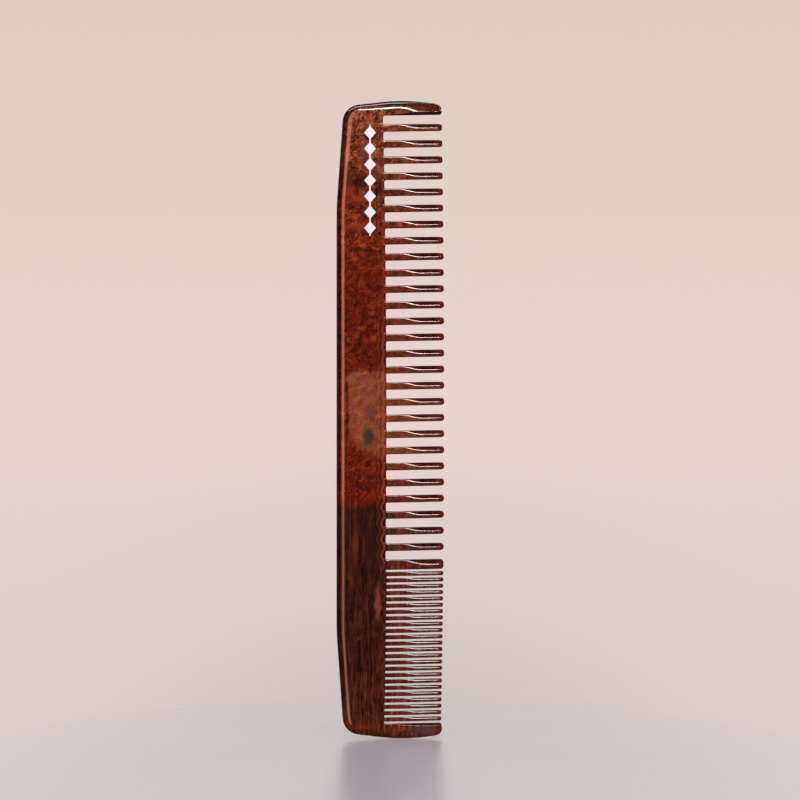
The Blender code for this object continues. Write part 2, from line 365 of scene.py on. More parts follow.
def rib_row(rib, kind, place):
    """The front points of one line of a rib, from the flat of the back to the tip."""
    lift = 1.0
    start = rib.seat
    if kind in ("low", "high") and kind != rib.outer:
        lift = math.sin(place)
        start += rib.gaps[kind].corner * (1 - lift)
    z_root = line_z(rib, kind, place, np.array([start]))[0]
    reach, depth = rib.nearest_gap(z_root).scallop_at(z_root)

    tooth_x = start + STATIONS * (rib.tip - rib.corner - start)
    tip_x = rib.tip - rib.corner * (1 - np.sin(TIP_ANGLES))
    x = np.concatenate([back_columns(start, reach), tooth_x, tip_x])
    z = line_z(rib, kind, place, x)

    side_drop = rib.side_round * (1 - lift)
    back_drop = depth * (lift * WAVE_DROP + (1 - lift) * ROUND_DROP) + side_drop * ROUND_DROP
    tooth_drop = depth * np.exp(-(((x[BACK_COLUMNS:] - start) / SCALLOP_FADE) ** 2)) + side_drop
    height = face_height(rib, x, z) - np.concatenate([back_drop, tooth_drop])
    height[-len(TIP_ANGLES):] *= 1 - TIP_THINNING * (1 - np.cos(TIP_ANGLES))
    if kind == rib.outer and place == 0:
        height[:] = 0
    return np.stack([x, -height, z], axis=1)


def gap_rows(gap):
    """The front points of the back beside one gap, line by line, without the lines that its ribs share."""
    inner = (gap.half - gap.corner) / gap.half
    one_side = [inner, *(inner + (1 - inner) * np.sin(GULLET_CORNER_ANGLES))]
    if gap.coarse:
        one_side.insert(0, inner / 2)
    rows = []
    for share in [-s for s in reversed(one_side)] + [0.0] + one_side:
        z = gap.middle + share * gap.half
        reach, depth = gap.scallop_at(z)
        into_corner = max(0.0, (abs(share) - inner) / (1 - inner))
        x = back_columns(gap.seat + gap.corner * (1 - math.sqrt(1 - into_corner**2)), reach)
        height = HALF_THICKNESS - (depth + gap.side_round) * ROUND_DROP
        rows.append(np.stack([x, -height, np.full_like(x, z)], axis=1))
    return rows


class MeshBuilder:
    """Collects points and faces for one mesh."""

    def __init__(self):
        self.points = []
        self.faces = []

    def add(self, point):
        self.points.append(tuple(point))
        return len(self.points) - 1

    def add_rows(self, rows):
        return [[self.add(point) for point in row] for row in rows]

    def down(self, indices):
        """Points on the middle plane under others. A point that lies there already stands for itself."""
        found = []
        for index in indices:
            x, y, z = self.points[index]
            found.append(index if y == 0 else self.add((x, 0, z)))
        return found

    def join(self, rows):
        """Quads between each row of points and the next. Shared points are used once."""
        for one, other in zip(rows, rows[1:]):
            for a, b, c, d in zip(one, one[1:], other[1:], other):
                corners = [a, b]
                corners += [i for i in (c, d) if i not in corners]
                if len(corners) > 2:
                    self.faces.append(corners)

    def mesh(self, name):
        made = bpy.data.meshes.new(name)
        made.from_pydata(self.points, [], self.faces)
        shape = bmesh.new()
        shape.from_mesh(made)
        bmesh.ops.recalc_face_normals(shape, faces=shape.faces)
        shape.to_mesh(made)
        shape.free()
        made.shade_smooth()
        return made


def close_rib(builder, rows):
    """Closes a rib's sides and tip down to the middle plane. Returns the points of the two sides there."""
    low_side = rows[0][ROOT_COLUMN:]
    high_side = rows[-1][ROOT_COLUMN:]
    low_wall = builder.down(low_side)
    high_wall = builder.down(high_side)
    tip = [row[-1] for row in rows]
    builder.join([low_side, low_wall])
    builder.join([high_side, high_wall])
    builder.join([tip, [low_wall[-1], *builder.down(tip[1:-1]), high_wall[-1]]])
    return low_wall, high_wall


def close_gullet(builder, rows, low_root, high_root):
    """Closes the end of a gap down to the middle plane, between the roots of its two ribs on that plane."""
    front = [row[-1] for row in rows]
    builder.join(rows)
    builder.join([front, [low_root, *builder.down(front[1:-1]), high_root]])


def inward_ways(band, settled):
    """The way in from each point of the outer edge: square to the edge, but along z beside the guards."""
    along = np.roll(band, -1, axis=0) - np.roll(band, 1, axis=0)
    along[0] = band[1] - band[0]
    along[-1] = band[-1] - band[-2]
    square = np.stack([-along[:, 1], along[:, 0]], axis=1)
    square /= np.linalg.norm(square, axis=1)[:, None]
    along_z = np.stack([np.zeros(len(band)), np.where(band[:, 1] > LENGTH / 2, -1.0, 1.0)], axis=1)
    share = settled**2 * (3 - 2 * settled)
    return along_z + (square - along_z) * share[:, None]


def edge_widths(band, inward, settled):
    """How wide the rounded edge is at each of its points."""
    from_shoulder = np.hypot(band[:, 0] - SHOULDER[0], band[:, 1] - SHOULDER[1])
    at_shoulder = settled * np.exp(-((from_shoulder / SHOULDER_REACH) ** 2))
    upright = np.abs(inward[:, 0])
    return EDGE_WIDTH + at_shoulder * (SHOULDER_EXTRA * upright - CROWN_LESS * (1 - upright))


def edge_rings(builder, head_ring, tail_ring):
    """The back's rounded outer edge, ring by ring between the guards' own rings. Returns its inner points."""
    band = OUTLINE[OUTLINE[:, 0] < FLAT_EDGE_X - RINGS_CLEAR_OF_GUARD]
    settled = np.clip((FLAT_EDGE_X - band[:, 0]) / RINGS_SETTLE_WITHIN, 0, 1)
    inward = inward_ways(band, settled)
    rings = [head_ring]
    for (x, z), (way_x, way_z), width in zip(band, inward, edge_widths(band, inward, settled)):
        ring = []
        for angle in EDGE_ANGLES:
            offset = width * (1 - math.cos(angle))
            height = HALF_THICKNESS * math.sin(angle)
            ring.append(builder.add((x + way_x * offset, -height, z + way_z * offset)))
        rings.append(ring)
    rings.append(tail_ring)
    builder.join(rings)
    return [ring[-1] for ring in rings]


def make_comb():
    """The whole plate as one mesh: the front half is built, and a Mirror modifier adds the rear."""
    ribs, gaps = make_ribs()
    builder = MeshBuilder()
    of_ribs = []
    for rib in ribs:
        of_ribs.append(builder.add_rows([rib_row(rib, kind, place) for kind, place in rib_lines(rib)]))
    of_gaps = [builder.add_rows(gap_rows(gap)) for gap in gaps]

    walls = []
    for rows in of_ribs:
        builder.join(rows)
        walls.append(close_rib(builder, rows))
    flat_side = [row[0] for row in of_ribs[0]]
    for below, above, rows, walls_below, walls_above in zip(of_ribs, of_ribs[1:], of_gaps, walls, walls[1:]):
        rows = [below[-1][:BACK_COLUMNS], *rows, above[0][:BACK_COLUMNS]]
        close_gullet(builder, rows, walls_below[1][0], walls_above[0][0])
        flat_side += [row[0] for row in rows[1:-1] + above]

    edge_count = len(EDGE_ANGLES)
    head_ring = flat_side[: -edge_count - 1 : -1]
    tail_ring = flat_side[:edge_count]
    rim = edge_rings(builder, head_ring, tail_ring)
    builder.faces.append(rim + flat_side[edge_count:-edge_count])

    comb = bpy.data.objects.new("comb_plate", builder.mesh("comb_plate"))
    bpy.context.scene.collection.objects.link(comb)
    mirror = comb.modifiers.new("rear", "MIRROR")
    mirror.use_axis = (False, True, False)
    mirror.merge_threshold = MERGE_WITHIN
    weigh = comb.modifiers.new("flat_faces_stay_flat", "WEIGHTED_NORMAL")
    weigh.keep_sharp = False
    return comb, [rib.name for rib in ribs]


class Graph:
    """Short names for building a shader's nodes. Every method but add and feed returns output sockets."""

    def __init__(self, tree):
        self.tree = tree

    def add(self, kind, **settings):
        made = self.tree.nodes.new(kind)
        for name, value in settings.items():
            setattr(made, name, value)
        return made

    def feed(self, socket, value):
        """Links a socket to another, or sets its value."""
        if isinstance(value, bpy.types.NodeSocket):
            self.tree.links.new(value, socket)
        elif isinstance(value, tuple) and socket.type == "RGBA":
            socket.default_value = (*value, 1)
        else:
            socket.default_value = value

    def math(self, operation, a, b=0.0, c=0.0, clamp=False):
        made = self.add("ShaderNodeMath", operation=operation, use_clamp=clamp)
        for socket, value in zip(made.inputs, (a, b, c)):
            self.feed(socket, value)
        return made.outputs[0]

    def plus(self, a, b):
        return self.math("ADD", a, b)

    def minus(self, a, b):
        return self.math("SUBTRACT", a, b)

    def times(self, a, b):
        return self.math("MULTIPLY", a, b)

    def distance(self, a, b):
        return self.math("ABSOLUTE", self.minus(a, b))

    def vector(self, operation, a, b=(0.0, 0.0, 0.0)):
        made = self.add("ShaderNodeVectorMath", operation=operation)
        self.feed(made.inputs[0], a)
        self.feed(made.inputs[1], b)
        return made.outputs["Value" if operation == "LENGTH" else "Vector"]

    def scaled(self, vector, factor):
        made = self.add("ShaderNodeVectorMath", operation="SCALE")
        self.feed(made.inputs[0], vector)
        self.feed(made.inputs["Scale"], factor)
        return made.outputs["Vector"]

    def split(self, vector):
        """The vector's x, y and z."""
        made = self.add("ShaderNodeSeparateXYZ")
        self.feed(made.inputs[0], vector)
        return tuple(made.outputs)

    def noise(self, vector, field, output="Fac"):
        made = self.add("ShaderNodeTexNoise")
        self.feed(made.inputs["Vector"], vector)
        made.inputs["Scale"].default_value = field.scale
        made.inputs["Detail"].default_value = field.detail
        made.inputs["Roughness"].default_value = field.roughness
        made.inputs["Distortion"].default_value = field.distortion
        return made.outputs[output]

    def drift(self, vector, field):
        """A noise as a vector that wanders about zero."""
        return self.vector("SUBTRACT", self.noise(vector, field, "Color"), (MID_NOISE, MID_NOISE, MID_NOISE))

    def range(self, value, low, high, to_low=0.0, to_high=1.0):
        """A smooth step from to_low, where the value is at low, to to_high, where it is at high."""
        made = self.add("ShaderNodeMapRange", interpolation_type="SMOOTHSTEP")
        for name, given in (("Value", value), ("From Min", low), ("From Max", high)):
            self.feed(made.inputs[name], given)
        made.inputs["To Min"].default_value = to_low
        made.inputs["To Max"].default_value = to_high
        return made.outputs["Result"]

    def mix(self, share, a, b, blend="MIX"):
        made = self.add("ShaderNodeMix", data_type="RGBA", blend_type=blend)
        self.feed(made.inputs["Factor"], share)
        colours = [socket for socket in made.inputs if socket.type == "RGBA"]
        self.feed(colours[0], a)
        self.feed(colours[1], b)
        return [socket for socket in made.outputs if socket.type == "RGBA"][0]

    def tint(self, a, b):
        """One colour multiplied by another."""
        return self.mix(1.0, a, b, "MULTIPLY")

    def ramp(self, value, stops):
        made = self.add("ShaderNodeValToRGB")
        self.feed(made.inputs["Fac"], value)
        elements = made.color_ramp.elements
        while len(elements) < len(stops):
            elements.new(0.5)
        for element, (position, colour) in zip(elements, stops):
            element.position = position
            element.color = (*colour, 1)
        return made.outputs["Color"]


def screen_colour(red, green, blue):
    """A colour named by its 0 to 255 screen values, as linear light by the sRGB standard's curve."""
    linear = []
    for value in (red, green, blue):
        share = value / 255
        linear.append(share / 12.92 if share <= 0.04045 else ((share + 0.055) / 1.055) ** 2.4)
    return tuple(linear)


def new_material(name):
    made = bpy.data.materials.new(name)
    made.use_nodes = True
    return made, Graph(made.node_tree), made.node_tree.nodes["Principled BSDF"]


WHITE = (1.0, 1.0, 1.0)
MID_NOISE = 0.5

# The noises of the acetate and the ink, whose scale is in repeats per mm
Noise = namedtuple("Noise", "scale detail roughness distortion", defaults=(0.55, 0.0))
SWIRL = Noise(0.12, 3.0)
CURL = Noise(0.6, 3.0)
WANDER = Noise(0.35, 4.0)
CLOUDS = Noise(0.70, 9.0, 0.76, 0.8)
STREAKS = Noise(1.5, 8.0, 0.76)
GRAIN = Noise(2.4, 3.0, 0.7)
FLECKS = Noise(0.38, 5.0, 0.6)
VEINS = Noise(0.16, 5.0, 0.55)
BLOTS = Noise(0.16, 4.0, 0.5)
SPECKLE = Noise(0.9, 4.0, 0.7)
HAZE = Noise(0.9, 3.0)
RIPPLE = Noise(0.16, 2.0, 0.4)
INK_COVER = Noise(3.0, 3.0)

# How far the pattern wanders, in mm
SWIRL_BY = 7.0
CURL_BY = 2.0
STREAKS_SWIRL_BY = 1.5
WANDER_BY = 9.0
PATCH_WANDER_SHARE = 0.25

# A name that ends in _FADE is a pair: where something starts, and where it is full. Places are in mm, with x
# across the comb from near the teeth's roots and z along it from the tail end.
TAIL_ZONE_FADE = (68.0, 64.0)
TAIL_ZONE_SLANT = 0.3

# The ground colour from the tail end to the head end
GROUND = [
    (0, (98, 44, 28)),
    (9, (88, 36, 23)),
    (20, (60, 23, 14)),
    (45, (55, 19, 13)),
    (66, (55, 18, 13)),
    (70, (108, 30, 15)),
    (82, (110, 34, 16)),
    (95, (114, 40, 21)),
    (110, (96, 29, 15)),
    (122, (100, 30, 16)),
    (135, (108, 32, 15)),
    (150, (110, 38, 18)),
    (160, (98, 40, 26)),
    (167, (126, 58, 40)),
    (185, (130, 66, 46)),
]
GROUND_END = GROUND[-1][0]

# The mottling, and the shade that it gives a colour from its darkest to its lightest
CLOUD_TURN = math.radians(38)
CLOUD_STRETCH = (0.6, 0.6, 1.0)
STREAK_STRETCH = (1.0, 1.0, 0.045)
STREAK_GAIN = 1.7
STREAK_LIFT = -0.36
GRAIN_STRETCH = (0.5, 0.5, 1.0)
GRAIN_SHARE = 0.42
HEAD_CONTRAST_FADE = (136.0, 152.0)
HEAD_CONTRAST = 1.75
PATTERN_MIDDLE = 0.49
SHADES = [(0.29, (0.20, 0.15, 0.16)), (0.48, (0.90, 0.80, 0.80)), (0.69, (2.4, 3.1, 2.2))]
EVEN_SHADE = (1.05, 1.05, 1.05)
FAINT_SHARE = 0.60

# The pale patch in the middle of the back, a painted soft reflection on the face laid into the colour, and
# the dark seam along its back edge
PALE_SHEEN = (144, 76, 53)
PATCH_HEAD_FADE = (107.0, 105.6)
PATCH_TAIL_FADE = (78.0, 83.0)
PATCH_TAIL_SLANT = 0.55
PATCH_BACK_FADE = (-12.4, -11.7)
PATCH_SHARE = 0.85
SEAM = (70, 20, 12)
SEAM_X = -12.45
SEAM_FADE = (0.35, 0.1)
SEAM_HEAD_FADE = (106.0, 103.0)
SEAM_TAIL_FADE = (86.0, 90.0)
SEAM_SHARE = 0.7

# Orange flecks, dark veins and dark blots. These fades are in levels of their noise.
ORANGE = (164, 78, 30)
DARK = (36, 13, 10)
FLECK_STRETCH = (0.8, 0.8, 1.0)
FLECK_FADE = (0.56, 0.70)
FLECK_SHARES = (0.62, 0.12)
VEIN_FADE = (0.030, 0.0)
VEIN_SHARE = 0.45
BLOT_FADE = (0.60, 0.70)
BLOT_SHARES = (0.6, 0.1)

# Single features of the pattern: place in x and z, size, colour and strength
FEATURES = [
    ((-10.6, 175.0), (0.8, 3.4), (64, 22, 14), 0.60),
    ((-13.6, 170.5), (0.9, 5.0), (144, 68, 34), 0.50),
    ((-13.8, 155.0), (1.2, 3.4), (140, 34, 20), 0.50),
    ((-9.4, 161.6), (4.6, 2.8), (50, 21, 18), 0.70),
    ((-3.2, 159.8), (1.6, 2.6), (42, 20, 20), 0.80),
    ((-10.2, 156.4), (3.2, 2.2), (160, 60, 22), 0.35),
    ((-11.7, 158.9), (1.7, 1.8), (158, 60, 24), 0.60),
    ((-9.6, 148.6), (3.2, 1.7), (152, 66, 28), 0.60),
    ((-4.6, 163.8), (1.5, 3.4), (112, 60, 56), 0.55),
    ((-7.4, 169.6), (2.4, 3.4), (128, 70, 60), 0.45),
    ((-12.6, 160.8), (1.6, 4.8), (112, 34, 20), 0.60),
    ((-10.2, 151.4), (1.6, 0.9), (166, 76, 38), 0.80),
    ((-8.0, 142.8), (1.3, 0.8), (166, 72, 30), 0.80),
    ((-5.4, 141.3), (3.8, 0.5), (56, 16, 10), 0.70),
    ((-13.1, 141.7), (0.7, 1.5), (150, 66, 30), 0.60),
    ((-5.3, 123.4), (1.0, 0.7), (150, 66, 32), 0.80),
    ((-11.2, 104.0), (1.8, 1.4), (152, 94, 56), 0.55),
    ((-5.1, 98.7), (1.2, 0.8), (158, 74, 38), 0.70),
    ((-5.8, 94.4), (1.9, 2.2), (94, 60, 50), 0.65),
    ((-8.7, 95.2), (1.0, 1.2), (154, 80, 50), 0.60),
    ((-5.4, 66.8), (2.6, 1.8), (30, 13, 12), 0.75),
    ((-10.2, 56.0), (0.8, 6.5), (112, 44, 24), 0.70),
    ((-3.6, 39.5), (0.9, 6.0), (134, 70, 56), 0.85),
    ((-4.2, 57.0), (1.6, 6.0), (34, 15, 13), 0.55),
    ((-11.6, 47.0), (0.6, 8.0), (98, 38, 22), 0.45),
    ((-7.5, 3.4), (4.5, 1.0), (120, 54, 30), 0.50),
]
FEATURE_FADE = (1.3, 0.3)
SPOT_AT = (-6.3, 87.4)
SPOT_SIZE = (1.45, 2.5)
SPOT_RIM = ((122, 82, 44), 0.5, (2.0, 1.1))
SPOT_CORE = ((60, 45, 40), 0.85, (1.45, 0.6))
# A greyish painted reflection of the floor on the tail guard's tip, in the same form
GUARD_TIP_PAINTED_REFLECTION = ((10.4, 2.7), (4.6, 2.0), (108, 80, 80), 0.6)

# The painted highlights and painted shade along the gullets, for the light on the back's polished scallops:
# lines as (x, half width, colour, share) that sway once for each coarse tooth
COARSE_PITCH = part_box("coarse_tooth_02")[0].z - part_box("coarse_tooth_01")[0].z
GULLET_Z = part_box("coarse_tooth_02")[0].z - (COARSE_PITCH - COARSE_TOOTH) / 2
WAVE = 2 * math.pi / COARSE_PITCH * MM
BANDS = [
    (-2.2, 0.50, PALE_SHEEN, 0.50),
    (-0.9, 0.40, PALE_SHEEN, 0.30),
    (-4.0, 0.20, DARK, 0.25),
    (-3.4, 0.35, PALE_SHEEN, 0.20),
    (-2.85, 0.26, DARK, 0.45),
    (-1.5, 0.34, DARK, 0.45),
]
BAND_CORE = 1 / 3
SWAY_FADE = (66.0, 78.0)
SWAYS = (0.46, 0.18)
BAND_TAIL_FADE = (48.0, 52.0)
BAND_TAIL_LEAST = 0.25
BAND_HEAD_FADE = (128.0, 112.0)
BAND_HEAD_LEAST = 0.35

# The teeth: a greyer and speckled colour, painted shade on ground facets and edges, and a painted red glow at
# the thin tips
TOOTH = (108, 50, 37)
TOOTH_FADE = (-1.5, 1.0)
TOOTH_SHARE = 0.7
SPECKLE_FADE = (0.36, 0.64)
SPECKLE_SHADES = (0.50, 1.42)
# Painted shade by how squarely the surface faces front or rear: where it is full and where it is gone, and
# the shade on the back, the tail zone and the teeth
FACET_SHADE_FADE = (0.86, 0.99)
FACET_SHADE_BACK = (0.34, 0.27, 0.27)
FACET_SHADE_TAIL = (0.8, 0.8, 0.8)
FACET_SHADE_TOOTH = (0.18, 0.12, 0.12)
TAIL_GUARD_FADE = (3.6, 4.6)
# The painted red glow of light through the thin tips
TIP_GLOW = (116, 38, 22)
TIP_GLOW_FADE = (12.6, 15.0)
TIP_GLOW_FACING_FADE = (0.5, 0.9)
TIP_GLOW_SHARE = 0.6

# The polish. It is softer over the tail zone and on the fine teeth.
ACETATE_IOR = 1.49
HAZE_FADE = (0.3, 0.7)
POLISH = (0.04, 0.09)
FINE_TEETH_FADE = (49.0, 47.0)
FINE_ROOT_FADE = (-0.5, 2.0)
SOFTER_BY = 0.07
SPECULAR_LEVELS = (0.5, 0.36)
RIPPLE_STRETCH = (1.0, 1.0, 0.45)
RIPPLE_HEIGHT = 0.06 * MM


class Acetate:
    """Polished tortoiseshell acetate: zones of colour along the comb, mottling, veins and flecks in depth.

    The fields that layers share are made first. A method that takes a body colour returns it with one more
    layer blended in.
    """

    def __init__(self):
        self.material, self.graph, self.shader = new_material("tortoiseshell_acetate")
        graph = self.graph
        source = graph.add("ShaderNodeTexCoord")
        self.place = graph.scaled(source.outputs["Object"], 1 / MM)
        self.across, _, self.along = graph.split(self.place)
        self.facing = graph.math("ABSOLUTE", graph.split(source.outputs["Normal"])[1])
        self.swirl = graph.drift(self.place, SWIRL)
        self.curl = graph.scaled(graph.drift(self.place, CURL), CURL_BY)
        self.warped = graph.vector("ADD", self.place, graph.scaled(self.swirl, SWIRL_BY))
        self.curled = graph.vector("ADD", self.warped, self.curl)
        self.wander = graph.times(graph.minus(graph.noise(self.place, WANDER), MID_NOISE), WANDER_BY)
        self.zone_z = graph.plus(self.along, self.wander)
        slanted = graph.plus(self.zone_z, graph.times(self.across, TAIL_ZONE_SLANT))
        self.toward_tail = graph.range(slanted, *TAIL_ZONE_FADE)
        turned = graph.add("ShaderNodeVectorRotate", rotation_type="Y_AXIS")
        graph.feed(turned.inputs["Vector"], self.curled)
        turned.inputs["Angle"].default_value = CLOUD_TURN
        self.turned = turned.outputs[0]
        self.slanting = graph.vector("MULTIPLY", self.turned, CLOUD_STRETCH)
        self.patch_z = graph.plus(self.along, graph.times(self.wander, PATCH_WANDER_SHARE))
        self.patch = self.painted_reflection_field()
        self.shade = self.mottling()
        self.faint_shade = graph.mix(FAINT_SHARE, EVEN_SHADE, self.shade)

    def blend(self, body, share, colour):
        return self.graph.mix(share, body, screen_colour(*colour))

    def mottling(self):
        """The shade of slanting clouds near the head and of upright streaks near the tail."""
        graph = self.graph
        toward_head = graph.minus(1.0, self.toward_tail)
        clouds = graph.noise(self.slanting, CLOUDS)
        upright = graph.vector("ADD", self.place, graph.scaled(self.swirl, STREAKS_SWIRL_BY))
        streaks = graph.noise(graph.vector("MULTIPLY", upright, STREAK_STRETCH), STREAKS)
        streaks = graph.math("MULTIPLY_ADD", streaks, STREAK_GAIN, STREAK_LIFT)
        pattern = graph.plus(graph.times(clouds, toward_head), graph.times(streaks, self.toward_tail))
        grain = graph.noise(graph.vector("MULTIPLY", self.turned, GRAIN_STRETCH), GRAIN)
        grain = graph.times(graph.minus(grain, MID_NOISE), toward_head)
        pattern = graph.plus(pattern, graph.times(grain, GRAIN_SHARE))
        contrast = graph.range(self.along, *HEAD_CONTRAST_FADE, 1.0, HEAD_CONTRAST)
        pattern = graph.math("MULTIPLY_ADD", graph.minus(pattern, MID_NOISE), contrast, PATTERN_MIDDLE)
        return graph.ramp(pattern, SHADES)

    def ground(self):
        stops = [(z / GROUND_END, screen_colour(*colour)) for z, colour in GROUND]
        ground = self.graph.ramp(self.graph.math("DIVIDE", self.zone_z, GROUND_END, clamp=True), stops)
        return self.graph.tint(ground, self.shade)

    def painted_reflection_field(self):
        """Where the patch of painted reflection is: crisp toward the head, and slanting where it ends toward
        the tail.
        """
        graph = self.graph
        slanted = graph.plus(self.zone_z, graph.times(self.across, PATCH_TAIL_SLANT))
        patch = graph.range(self.patch_z, *PATCH_HEAD_FADE)
        patch = graph.times(patch, graph.range(slanted, *PATCH_TAIL_FADE))
        return graph.times(patch, graph.range(self.across, *PATCH_BACK_FADE))

    def add_painted_reflection(self, body):
        # Painted soft reflection: the patch is blended toward a pale sheen colour
        graph = self.graph
        painted_sheen = graph.tint(screen_colour(*PALE_SHEEN), self.faint_shade)
        body = graph.mix(graph.times(self.patch, PATCH_SHARE), body, painted_sheen)
        seam = graph.range(graph.distance(self.across, SEAM_X), *SEAM_FADE)
        seam = graph.times(seam, graph.range(self.patch_z, *SEAM_HEAD_FADE))
        seam = graph.times(seam, graph.range(self.patch_z, *SEAM_TAIL_FADE))
        return self.blend(body, graph.times(seam, SEAM_SHARE), SEAM)

    def add_flecks(self, body):
        """Orange flecks, thick near the head and rare near the tail."""
        graph = self.graph
        flecks = graph.noise(graph.vector("MULTIPLY", self.curled, FLECK_STRETCH), FLECKS)
        share = graph.range(self.toward_tail, 0.0, 1.0, *FLECK_SHARES)
        return self.blend(body, graph.times(graph.range(flecks, *FLECK_FADE), share), ORANGE)

    def add_veins(self, body):
        """Dark veins outside the patch of painted reflection, and blots that are faint in it."""
        graph = self.graph
        vein = graph.range(graph.distance(graph.noise(self.slanting, VEINS), MID_NOISE), *VEIN_FADE)
        vein = graph.times(vein, graph.minus(1.0, self.patch))
        body = self.blend(body, graph.times(vein, VEIN_SHARE), DARK)
        blot = graph.range(graph.noise(self.warped, BLOTS), *BLOT_FADE)
        return self.blend(body, graph.times(blot, graph.range(self.patch, 0.0, 1.0, *BLOT_SHARES)), DARK)

    def add_feature(self, body, at, size, colour, share, fade=FEATURE_FADE):
        """A wandering oval of one colour."""
        graph = self.graph
        offset = graph.vector("SUBTRACT", graph.vector("ADD", self.place, self.curl), (at[0], 0.0, at[1]))
        offset = graph.vector("MULTIPLY", offset, (1 / size[0], 0.0, 1 / size[1]))
        near = graph.range(graph.vector("LENGTH", offset), *fade, 0.0, share)
        return self.blend(body, near, colour)

    def add_features(self, body):
        """The single features, and one dark grey spot with an olive rim in the patch of painted reflection.
        """
        for feature in FEATURES:
            body = self.add_feature(body, *feature)
        for layer in (SPOT_RIM, SPOT_CORE):
            body = self.add_feature(body, SPOT_AT, SPOT_SIZE, *layer)
        return body

    def add_gullet_highlights(self, body):
        """A paler band with dark borders follows the gullets: painted highlights and painted shade for the
        light on the scallops where the back was polished.
        """
        graph = self.graph
        wave = graph.math("COSINE", graph.times(graph.minus(self.along, GULLET_Z / MM), WAVE))
        arc = graph.plus(self.across, graph.times(wave, graph.range(self.along, *SWAY_FADE, *SWAYS)))
        strength = graph.times(graph.range(self.along, *BAND_TAIL_FADE, BAND_TAIL_LEAST, 1.0),
                               graph.range(self.along, *BAND_HEAD_FADE, BAND_HEAD_LEAST, 1.0))
        for line_x, half_width, colour, share in BANDS:
            line = graph.range(graph.distance(arc, line_x), half_width, half_width * BAND_CORE)
            body = self.blend(body, graph.times(graph.times(line, strength), share), colour)
        return body

    def add_teeth(self, body):
        """The teeth are a little greyer than the back, and speckled. The tail guard's tip gets a greyish
        painted reflection of the floor.
        """
        graph = self.graph
        tooth = graph.tint(screen_colour(*TOOTH), self.faint_shade)
        speckle = graph.range(graph.noise(self.curled, SPECKLE), *SPECKLE_FADE, *SPECKLE_SHADES)
        tooth = graph.tint(tooth, speckle)
        body = graph.mix(graph.range(self.across, *TOOTH_FADE, 0.0, TOOTH_SHARE), body, tooth)
        return self.add_feature(body, *GUARD_TIP_PAINTED_REFLECTION)

    def paint_facet_shade(self, body):
        """Painted shade: ground facets and edges, which turn away from the front, are darker than the
        polished faces, most of all on the teeth.
        """
        graph = self.graph
        painted_shade = graph.mix(self.toward_tail, FACET_SHADE_BACK, FACET_SHADE_TAIL)
        toothed = graph.range(self.across, *TOOTH_FADE)
        toothed = graph.times(toothed, graph.range(self.along, *TAIL_GUARD_FADE))
        painted_shade = graph.mix(toothed, painted_shade, FACET_SHADE_TOOTH)
        return graph.tint(body, graph.mix(graph.range(self.facing, *FACET_SHADE_FADE), painted_shade, WHITE))

    def paint_tip_glow(self, body):
        """A painted red glow on the thin tips, for the light that they let through."""
        graph = self.graph
        tip = graph.range(self.across, *TIP_GLOW_FADE, 0.0, TIP_GLOW_SHARE)
        return self.blend(body, graph.times(tip, graph.range(self.facing, *TIP_GLOW_FACING_FADE)), TIP_GLOW)

    def polish(self):
        """The gloss, a little uneven, and the faint ripple of hand polishing."""
        graph = self.graph
        inputs = self.shader.inputs
        roughness = graph.range(graph.noise(self.place, HAZE), *HAZE_FADE, *POLISH)
        fine_teeth = graph.range(self.along, *FINE_TEETH_FADE)
        fine_teeth = graph.times(fine_teeth, graph.range(self.across, *FINE_ROOT_FADE))
        softer = graph.times(graph.math("MAXIMUM", fine_teeth, self.toward_tail), SOFTER_BY)
        specular = graph.range(self.toward_tail, 0.0, 1.0, *SPECULAR_LEVELS)
        inputs["IOR"].default_value = ACETATE_IOR
        graph.feed(inputs["Roughness"], graph.plus(roughness, softer))
        graph.feed(inputs["Specular IOR Level"], specular)
        bump = graph.add("ShaderNodeBump")
        bump.inputs["Strength"].default_value = 1.0
        bump.inputs["Distance"].default_value = RIPPLE_HEIGHT
        ripple = graph.noise(graph.vector("MULTIPLY", self.place, RIPPLE_STRETCH), RIPPLE)
        graph.feed(bump.inputs["Height"], ripple)
        graph.feed(inputs["Normal"], bump.outputs["Normal"])


def make_acetate():
    acetate = Acetate()
    body = acetate.ground()
    body = acetate.add_painted_reflection(body)
    body = acetate.add_flecks(body)
    body = acetate.add_veins(body)
    body = acetate.add_features(body)
    body = acetate.add_gullet_highlights(body)
    body = acetate.add_teeth(body)
    body = acetate.paint_facet_shade(body)
    body = acetate.paint_tip_glow(body)
    acetate.graph.feed(acetate.shader.inputs["Base Color"], body)
    acetate.polish()
    return acetate.material


INK_COLOURS = ((222, 226, 238), (236, 240, 248))
INK_FADE = (0.3, 0.7)
INK_ROUGHNESS = 0.4


def make_ink():
    """White screen ink: slightly uneven cover with a soft sheen."""
    made, graph, shader = new_material("white_ink")
    place = graph.scaled(graph.add("ShaderNodeTexCoord").outputs["Object"], 1 / MM)
    cover = graph.range(graph.noise(place, INK_COVER), *INK_FADE)
    thin, thick = [screen_colour(*colour) for colour in INK_COLOURS]
    graph.feed(shader.inputs["Base Color"], graph.mix(cover, thin, thick))
    shader.inputs["Roughness"].default_value = INK_ROUGHNESS
    return made


CAMERA_DISTANCE = 1.2
FRAME_WIDTH = 0.232
FRAME_CENTRE = (2.77 * MM, 98.2 * MM)
SENSOR_WIDTH = 36


